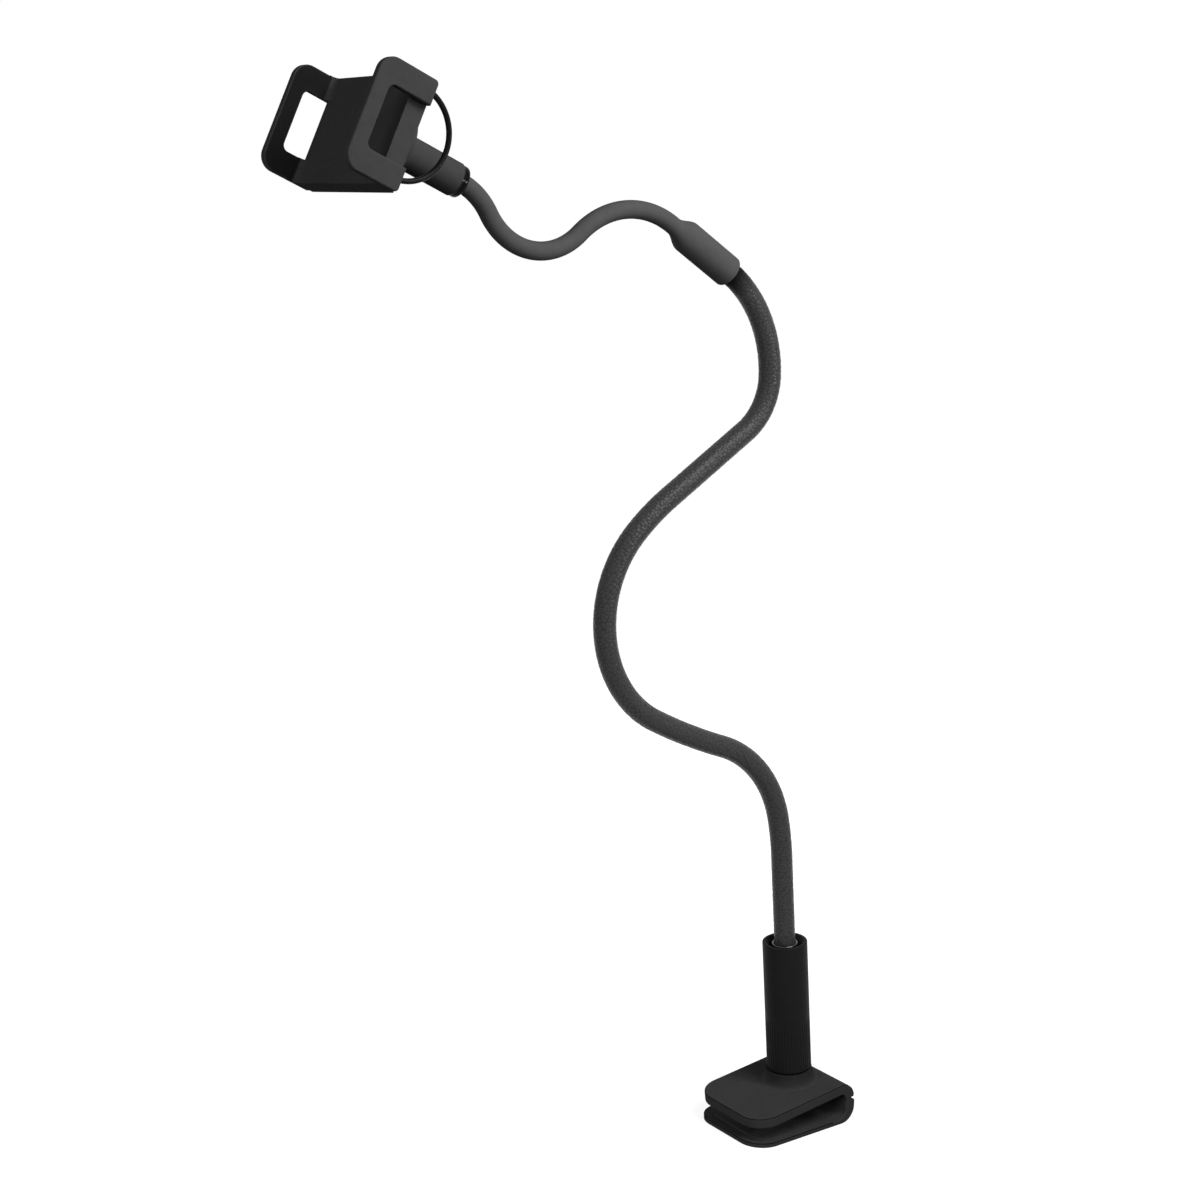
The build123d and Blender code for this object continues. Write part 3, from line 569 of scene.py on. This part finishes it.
MAST_HEADING = atan2(MAST_AXIS.z, MAST_AXIS.x)
GRIP_RIM = MAST_FOOT + MAST_AXIS * GRIP_TOP
LOWER_LINE = bent_line(GRIP_RIM, MAST_HEADING, LOWER_BENDS, SLEEVE_DEPTH, COUPLING_LIP)
JOIN_POINT, JOIN_HEADING = walk(LOWER_LINE, [LOWER_LINE["length"] - COUPLING_LIP])
UPPER_LINE = bent_line(Vector(JOIN_POINT[0]), JOIN_HEADING[0], UPPER_BENDS, 0.0, ARM_END_DEPTH)


def pebbles(along, around, girth):
    """Height of a pebbled leather grain from 0 in its hollows to 1 on its crowns, at unrolled places."""
    dice = np.random.default_rng(PEBBLE_SEED)
    columns = int(round(girth / PEBBLE_AROUND))
    rows = int(ceil(along.max() / PEBBLE_ALONG)) + 3
    wide = girth / columns
    nudge = dice.uniform(-PEBBLE_NUDGE, PEBBLE_NUDGE, (rows, columns, 2))
    size = dice.uniform(-PEBBLE_SPREAD, PEBBLE_SPREAD, (rows, columns))
    row = np.floor(along / PEBBLE_ALONG).astype(int)[:, None]
    column = np.floor(around / wide).astype(int)[None, :]
    nearest = np.full((len(along), len(around)), 1.0)
    second = nearest.copy()
    for dr in range(-2, 3):
        for dc in range(-2, 3):
            r = np.clip(row + dr + 1, 0, rows - 1)
            c = column + dc
            seed_along = (r - 0.5 + nudge[r, c % columns, 0]) * PEBBLE_ALONG
            seed_around = (c + 0.5 * (r % 2) + 0.25 + nudge[r, c % columns, 1]) * wide
            reach = np.hypot(along[:, None] - seed_along, (around[None, :] - seed_around) * PEBBLE_SQUEEZE)
            reach = reach - size[r, c % columns] * PEBBLE_ALONG
            second = np.minimum(second, np.maximum(nearest, reach))
            nearest = np.minimum(nearest, reach)
    ridge = np.clip((second - nearest) / PEBBLE_VALLEY, 0, 1)
    dome = 1 - np.clip(nearest / (PEBBLE_DOME * PEBBLE_ALONG), 0, 1) ** 2
    return smooth_step(ridge) * (PEBBLE_RIM + PEBBLE_CROWN * dome)


def lower_sleeve():
    """The lower arm's grained skin, with every pebble in the mesh."""
    distances = np.linspace(0, LOWER_LINE["length"], SLEEVE_RINGS)
    around = np.arange(SLEEVE_SIDES) * LOWER_ARM_RADIUS * tau / SLEEVE_SIDES
    crown = pebbles(distances, around, LOWER_ARM_RADIUS * tau)
    places, headings = walk(LOWER_LINE, distances)
    points = hose(places, headings, LOWER_ARM_RADIUS - PEBBLE_DEPTH * (1 - crown), SLEEVE_SIDES)
    shell = (points, ring_faces(SLEEVE_RINGS, SLEEVE_SIDES))
    made = piece_from("lower_sleeve_skin", [shell], "grained_sleeve", "arm", "lower_arm_sleeve", CRISP_GRAIN)
    # painted shade: the skin turns black towards the coupling's mouth
    left = (LOWER_LINE["length"] - COUPLING_LIP - distances) / COUPLING_SHADE_LENGTH
    coupling_shade = np.broadcast_to(np.clip(1 - left, 0, 1)[:, None] ** COUPLING_SHADE_POWER, crown.shape)
    for name, values in (("crown", crown), ("coupling_shade", coupling_shade)):
        layer = made.data.attributes.new(name, "FLOAT", "POINT")
        layer.data.foreach_set("value", values.astype(np.float32).ravel())


def upper_sleeve():
    """The upper arm's smooth skin with the coupling that it swells into, hollow at its wide end."""
    mouth = LOWER_ARM_RADIUS + COUPLING_MOUTH
    shoulder_end = COUPLING_LENGTH + COUPLING_SHOULDER
    profile = [(COUPLING_LIP, COUPLING_FLOOR * mouth), (COUPLING_LIP, mouth), (0.0, mouth)]
    profile += rounded(0.0, COUPLING_RADIUS, COUPLING_EDGE, foot=True)
    for distance in np.linspace(COUPLING_EDGE, COUPLING_LENGTH, COUPLING_RINGS)[1:]:
        profile.append((distance, COUPLING_RADIUS))
    for share in np.linspace(0, 1, COUPLING_RINGS)[1:]:
        radius = COUPLING_RADIUS + (UPPER_ARM_RADIUS - COUPLING_RADIUS) * smooth_step(share)
        profile.append((COUPLING_LENGTH + share * COUPLING_SHOULDER, radius))
    for distance in np.linspace(shoulder_end, UPPER_LINE["length"], HOSE_RINGS)[1:]:
        profile.append((distance, UPPER_ARM_RADIUS))
    distances = np.array([p[0] for p in profile])
    radii = np.array([p[1] for p in profile])
    order = np.argsort(distances, kind="stable")
    places = np.empty((len(profile), 3))
    headings = np.empty(len(profile))
    places[order], headings[order] = walk(UPPER_LINE, distances[order])
    shell = (hose(places, headings, radii, HOSE_SIDES), ring_faces(len(profile), HOSE_SIDES))
    piece_from("upper_sleeve_skin", [shell], "smooth_sleeve", "arm", "upper_arm_sleeve", CRISP_SKIN)


def crease(name, body, place, edge, rear, roll=0.0):
    """A fine dark line sunk in a jaw's rounded rim: round the front, along both sides and over the roll."""
    inset = edge * (1 - cos(pi / 4))
    wide, corner = JAW_HALF - inset, JAW_CORNER - inset
    front = inset - JAW_FRONT
    half = []
    for turn in np.linspace(0, pi / 2, CREASE_CORNER_STEPS):
        half.append((front + corner * (1 - cos(turn)), wide - corner * (1 - sin(turn)), -inset, 0.0))
    for along in np.linspace(front + corner, rear - roll, CREASE_SIDE_STEPS)[1:]:
        half.append((along, wide, -inset, 0.0))
    for turn in np.linspace(0, pi / 2, CREASE_ROLL_STEPS)[1:] if roll else ():
        half.append((rear - roll + (roll - inset) * sin(turn), wide, (roll - inset) * cos(turn) - roll, turn))
    trail = [(x, -y, z, lean) for x, y, z, lean in half[::-1]] + half
    spots = [Vector(spot[:3]) for spot in trail]
    points = []
    for k, spot in enumerate(spots):
        ahead = (spots[min(k + 1, len(spots) - 1)] - spots[max(k - 1, 0)]).normalized()
        upward = Vector((sin(trail[k][3]), 0, cos(trail[k][3])))
        beside = ahead.cross(upward).normalized()
        for angle in angles_round(THIN_WIRE_SIDES):
            points.append(place @ (spot + (beside * cos(angle) + upward * sin(angle)) * CREASE_WIRE))
    piece_from(name, [(points, ring_faces(len(spots), THIN_WIRE_SIDES))], "bearing_plastic", body, None)


def turning_grip():
    """The column: ribs round its lower part, a rounded rim and a bevel that falls to the bushing."""
    lip = GRIP_RADIUS - GRIP_RIM_EDGE - GRIP_RIM_FLAT
    pocket = BUSHING_TOP - BUSHING_LENGTH
    profile = [(GRIP_FOOT, GRIP_BORE)] + rounded(GRIP_FOOT, GRIP_RADIUS, GRIP_RIM_EDGE, foot=True)
    for height in np.linspace(GRIP_FOOT + GRIP_RIM_EDGE, GRIP_RIB_TOP + GRIP_RIB_MARGIN, GRIP_ROWS)[1:]:
        profile.append((height, GRIP_RADIUS))
    profile += rounded(GRIP_TOP, GRIP_RADIUS, GRIP_RIM_EDGE)
    profile += [(GRIP_TOP, lip), (BUSHING_TOP, BUSHING_RADIUS), (pocket, BUSHING_RADIUS), (pocket, GRIP_BORE)]

    def grooves(height, radius, share):
        if radius < GRIP_RADIUS - GRIP_RIM_EDGE or height > GRIP_RIB_TOP:
            return 0.0
        wave = 0.5 + 0.5 * cos(tau * share * GRIP_RIBS)
        return GRIP_RIB_DEPTH * wave ** 2 * min(1.0, (GRIP_RIB_TOP - height) / GRIP_RIB_FADE)

    shell = lathe(profile, GRIP_SIDES, MAST, grooves)
    piece_from("turning_grip_ribbed", [shell], "grip_plastic", "grip", "turning_grip")


def foot_bushing():
    """The bearing in the grip's mouth, with its outer edge rounded."""
    low = BUSHING_TOP - BUSHING_LENGTH
    profile = [(low, LOWER_ARM_RADIUS), (low, BUSHING_RADIUS)]
    profile += rounded(BUSHING_TOP, BUSHING_RADIUS, BUSHING_EDGE) + [(BUSHING_TOP, LOWER_ARM_RADIUS)]
    shell = lathe(profile, RING_SIDES, MAST)
    piece_from("foot_bushing_turned", [shell], "bearing_plastic", "grip", "foot_bushing")


def foot_ring():
    """Bright wire ring round the arm's foot."""
    middle = half_width("foot_ring") - FOOT_RING_WIRE
    level = BUSHING_TOP + FOOT_RING_WIRE
    profile = []
    for angle in angles_round(WIRE_SIDES):
        profile.append((level + FOOT_RING_WIRE * sin(angle), middle + FOOT_RING_WIRE * cos(angle)))
    piece_from("foot_ring_wire", [lathe(profile, RING_SIDES, MAST)], "bright_ring", "arm", "foot_ring")


def draw_stud():
    """The draw stud with its thread, and the cross bar at its foot."""
    top = STUD_FOOT + STUD_LENGTH
    rows = int(STUD_LENGTH / STUD_PITCH * THREAD_ROWS)
    profile = [(height, STUD_RADIUS) for height in np.linspace(STUD_FOOT, top, rows)]

    def thread(height, radius, share):
        turn = (height / STUD_PITCH - share) % 1.0
        flank = max(0.0, 1 - abs(turn - 0.5) / THREAD_FLANK)
        tip = max(0.0, (height - top) / STUD_PITCH + 1)
        return THREAD_DEPTH * max(flank, tip)

    half = BAR_LENGTH / 2
    bar_place = MAST @ Matrix.Translation((0, 0, STUD_FOOT)) @ Matrix.Rotation(radians(-90), 4, "X")
    bar = rounded(-half, STUD_RADIUS, GRIP_RIM_EDGE, foot=True) + rounded(half, STUD_RADIUS, GRIP_RIM_EDGE)
    shells = [lathe(profile, STUD_SIDES, MAST, thread, closed=False),
              lathe(bar, BAR_SIDES, bar_place, closed=False)]
    piece_from("draw_stud_threaded", shells, "plain_steel", "stud", "draw_stud")


def lock_ring():
    """The glossy ring at the stem's end: a rounded nose, a narrow groove and a bell mouth for the arm."""
    radius, end = LOCK_RING_RADIUS, LOCK_RING_LENGTH
    start = end / 2
    profile = [(0.0, LOCK_RING_THROAT)] + rounded(0.0, radius, LOCK_RING_EDGE, foot=True)
    profile += [(start, radius), (start + LOCK_GROOVE / 4, radius - LOCK_GROOVE_DEPTH),
                (start + LOCK_GROOVE * 3 / 4, radius - LOCK_GROOVE_DEPTH), (start + LOCK_GROOVE, radius),
                (end, radius), (end, LOCK_RING_THROAT), (end / 2, LOCK_RING_THROAT - LOCK_WAIST)]
    shell = lathe(profile, LOCK_RING_SIDES, HEAD)
    piece_from("lock_ring_turned", [shell], "gloss_ring", "cradle", "lock_ring")


def hoop():
    """The finger hoop behind the sliding jaw, a round wire bent to an arc."""
    low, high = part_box("hoop")
    level = -(low.y + high.y) / 2
    points = []
    for turn in np.linspace(pi - HOOP_HALF, pi + HOOP_HALF, HOOP_STEPS):
        outward = Vector((cos(turn), 0, sin(turn)))
        for angle in angles_round(WIRE_SIDES):
            reach = HOOP_RADIUS + HOOP_WIRE * cos(angle)
            middle = Vector((HOOP_CENTRE, level - HOOP_WIRE * sin(angle), 0))
            points.append(CRADLE @ (middle + outward * reach))
    piece_from("hoop_bent", [(points, ring_faces(HOOP_STEPS, WIRE_SIDES))], "hoop_wire", "jaw", "hoop")


def return_spring(node):
    """A coil of round wire on a guide rod, spread evenly over the length of the CAD node's box."""
    low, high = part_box(node)
    middle = (low + high) / 2
    coil = (high.x - low.x) / 2 - SPRING_WIRE
    steps = SPRING_TURNS * COIL_STEPS
    length = high.y - low.y - 2 * SPRING_WIRE
    points = []
    for step in range(steps + 1):
        turn = tau * step / COIL_STEPS
        outward = Vector((cos(turn), 0, sin(turn)))
        place = Vector((middle.x, low.y + SPRING_WIRE + length * step / steps, middle.z)) + outward * coil
        for angle in angles_round(THIN_WIRE_SIDES):
            points.append(place + (outward * cos(angle) + ACROSS * sin(angle)) * SPRING_WIRE)
    shell = (points, ring_faces(steps + 1, THIN_WIRE_SIDES))
    made = piece_from(node + "_coil", [shell], "plain_steel", "cradle", node)
    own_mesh(made)


def cover_screws():
    """Countersunk screws in the rear cover, with cross recesses."""
    long, wide = SCREW_CROSS

    def cross(height, radius, share):
        if radius > long:
            return 0.0
        lean = pi / 4 - abs((share * 4) % 1.0 - 0.5) * pi / 2
        near, far = cos(lean), max(sin(lean), 1e-6)
        return radius - radius / long * max(min(long / near, wide / far), min(wide / near, long / far))

    profile = [(SCREW_CROSS_DEPTH, long * SCREW_CROSS_TAPER), (0.0, long), (0.0, SCREW_HEAD),
               (SCREW_SLOPE, SCREW_HEAD - SCREW_SLOPE)]
    shells = []
    for y in (-SCREW_Y, SCREW_Y):
        for z in (-SCREW_Z, SCREW_Z):
            place = CRADLE @ Matrix.Translation((COVER_BACK, y, z)) @ Matrix.Rotation(radians(90), 4, "Y")
            shells.append(lathe(profile, SCREW_SIDES, place, cross, closed=False))
    piece_from("cover_screws_recessed", shells, "plain_steel", "cradle", "cover_screws")


def finish_cad_nodes():
    """Every CAD node that stays visible takes its slot's finish."""
    for part in frame["record"]["subparts"]:
        dress(frame["nodes"][part["node"]], part["material_slot"])


def photo_camera():
    """The photograph's camera."""
    level = cos(CAMERA_PITCH)
    back = Vector((sin(CAMERA_AZIMUTH) * level, -cos(CAMERA_AZIMUTH) * level, sin(CAMERA_PITCH)))
    right = Vector((cos(CAMERA_AZIMUTH), sin(CAMERA_AZIMUTH), 0))
    place = Matrix((right, back.cross(right), back)).transposed().to_4x4()
    place.translation = CAMERA_PLACE
    data = bpy.data.cameras.new("camera")
    data.lens = CAMERA_LENS
    data.sensor_width = CAMERA_SENSOR
    data.clip_start, data.clip_end = CAMERA_CLIP
    camera = new_object("camera", data)
    camera.matrix_world = place
    bpy.context.scene.camera = camera


def softbox(name, azimuth, height, distance, target, size, power, highlights=False):
    """A square lamp that points at a target, and shows in reflections only where it makes highlights."""
    turn, rise = radians(azimuth), radians(height)
    toward = Vector((sin(turn) * cos(rise), -cos(turn) * cos(rise), sin(rise)))
    data = bpy.data.lights.new(name, "AREA")
    data.shape = "SQUARE"
    data.size = size
    data.energy = power
    place = toward.to_track_quat("Z", "Y").to_matrix().to_4x4()
    place.translation = Vector(target) + toward * distance
    lamp = new_object(name, data)
    lamp.matrix_world = place
    lamp.visible_camera = False
    lamp.visible_glossy = highlights


def seen_or_mirrored(wire):
    """1 for what the camera, a reflection or a clear piece shows, and 0 for light that falls on surfaces."""
    path = wire.tree.nodes.new("ShaderNodeLightPath")
    seen = Wire(wire.tree, path.outputs["Is Camera Ray"])
    for kind in ("Is Glossy Ray", "Is Transmission Ray"):
        seen = seen.larger(Wire(wire.tree, path.outputs[kind]))
    return seen


def backdrop():
    """White wherever it is seen or mirrored, and a low even light on everything."""
    world = bpy.data.worlds.new("backdrop")
    world.use_nodes = True
    world.node_tree.nodes.clear()
    wire = Wire(world.node_tree)
    ambient = wire.node("ShaderNodeBackground", None, {"Color": grey(1, 1), "Strength": AMBIENT})
    white = wire.node("ShaderNodeBackground", None, {"Color": grey(1, 1), "Strength": 1.0})
    mixed = wire.node("ShaderNodeMixShader", None, {0: seen_or_mirrored(wire), 1: ambient, 2: white})
    wire.node("ShaderNodeOutputWorld", None, {"Surface": mixed})
    bpy.context.scene.world = world


def pale_floor():
    """A white floor that keeps the clamp's contact shadow and fades into the backdrop."""
    mesh = bpy.data.meshes.new("floor")
    corners = [(-1, -1), (1, -1), (1, 1), (-1, 1)]
    mesh.from_pydata([(x * FLOOR_REACH, y * FLOOR_REACH, 0) for x, y in corners], [], [(0, 1, 2, 3)])
    floor = new_object("floor", mesh)
    material, wire = new_material("white floor")
    far = own_place(wire).vector("LENGTH", out="Value").ramp(*FLOOR_FADE)
    dull = wire.node("ShaderNodeBsdfDiffuse", None, {"Color": grey(FLOOR_UNSEEN, 1)})
    diffuse = wire.node("ShaderNodeBsdfDiffuse", None, {"Color": grey(FLOOR_SEEN, 1)})
    whitening = far.tint(grey(FLOOR_NEAR), grey(1))
    glow = wire.node("ShaderNodeEmission", None, {"Color": whitening, "Strength": 1.0})
    lit = wire.node("ShaderNodeAddShader", None, {0: diffuse, 1: glow})
    both = wire.node("ShaderNodeMixShader", None, {0: seen_or_mirrored(wire), 1: dull, 2: lit})
    wire.node("ShaderNodeOutputMaterial", None, {"Surface": both})
    mesh.materials.append(material)


finish_cad_nodes()
lower_sleeve()
upper_sleeve()
crease("upper_jaw_crease", "upper_clamp",
       Matrix.Translation(MAST_FOOT) @ Matrix.Rotation(-UPPER_JAW_TILT, 4, "Y"),
       UPPER_JAW_EDGE, UPPER_JAW_REAR, UPPER_JAW_ROLL)
crease("lower_jaw_crease", "lower_clamp", Matrix.Translation((0, 0, LOWER_JAW_TOP)),
       LOWER_JAW_EDGE, LOWER_JAW_END)
turning_grip()
foot_bushing()
foot_ring()
draw_stud()
lock_ring()
hoop()
return_spring("upper_return_spring")
return_spring("lower_return_spring")
cover_screws()
photo_camera()
for lamp_name, lamp_values in LAMPS.items():
    softbox(lamp_name, **lamp_values)
backdrop()
pale_floor()
bpy.context.scene.view_settings.view_transform = "Standard"
